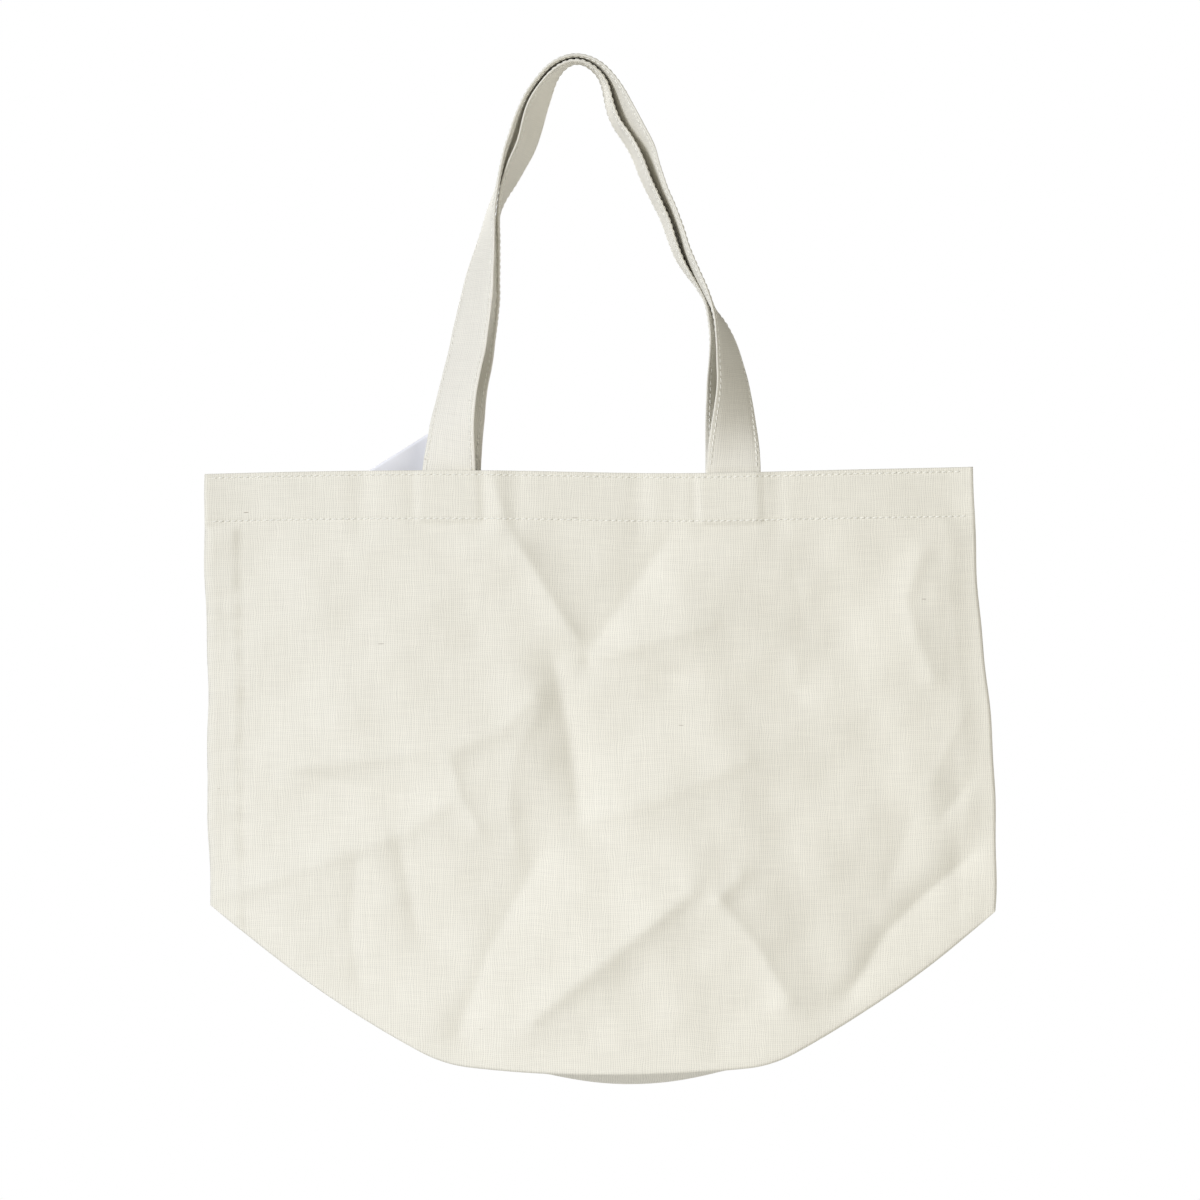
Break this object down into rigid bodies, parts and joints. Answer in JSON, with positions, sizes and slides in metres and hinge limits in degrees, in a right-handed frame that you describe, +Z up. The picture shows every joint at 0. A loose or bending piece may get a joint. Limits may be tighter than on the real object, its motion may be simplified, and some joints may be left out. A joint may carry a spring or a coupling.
{
  "type": "canvas tote bag",
  "caption": "Cream canvas tote bag hanging by strap handles, with a stitched hem, slanted lower corners, a shallow boxed base and a bare care label.",
  "frame": {"origin": "underside of the inner handle's crest, midway along the bag, where a peg, hook or hand carries it", "axes": "+X to the bag's right seen from the front, +Y from the front panel to the back panel, +Z up"},
  "size_m": [0.43, 0.0641, 0.5654],
  "materials": {
    "canvas": "unbleached cotton canvas, matt, fine ribbed weave with a few dark flecks",
    "strap": "the same canvas folded into a strap, edge stitched",
    "thread": "off-white cotton sewing thread",
    "label": "white satin label, left bare"
  },
  "bodies": {
    "bag": {"front_panel": "canvas", "back_panel": "canvas", "front_hem": "canvas", "back_hem": "canvas", "left_seam_allowance": "canvas", "right_seam_allowance": "canvas", "base_seam_allowance": "canvas", "front_left_handle_end": "strap", "front_right_handle_end": "strap", "back_left_handle_end": "strap", "back_right_handle_end": "strap", "front_mouth_thread": "thread", "front_hem_thread": "thread", "back_mouth_thread": "thread", "back_hem_thread": "thread"},
    "front_handle": {"front_handle": "strap"},
    "back_handle": {"back_handle": "strap"},
    "label": {"label": "label"}
  },
  "joints": [
    {"name": "front_handle_fold", "type": "hinge", "parent": "bag", "child": "front_handle", "pos_m": [0, -0.0173, -0.224], "axis": [1, 0, 0], "range_deg": [0, 160]},
    {"name": "back_handle_fold", "type": "hinge", "parent": "bag", "child": "back_handle", "pos_m": [0, 0.0173, -0.224], "axis": [-1, 0, 0], "range_deg": [0, 160]},
    {"name": "label_flap", "type": "hinge", "parent": "bag", "child": "label", "pos_m": [-0.09, 0.0056, -0.242], "axis": [1, 0, 0], "range_deg": [0, 15]}
  ]
}
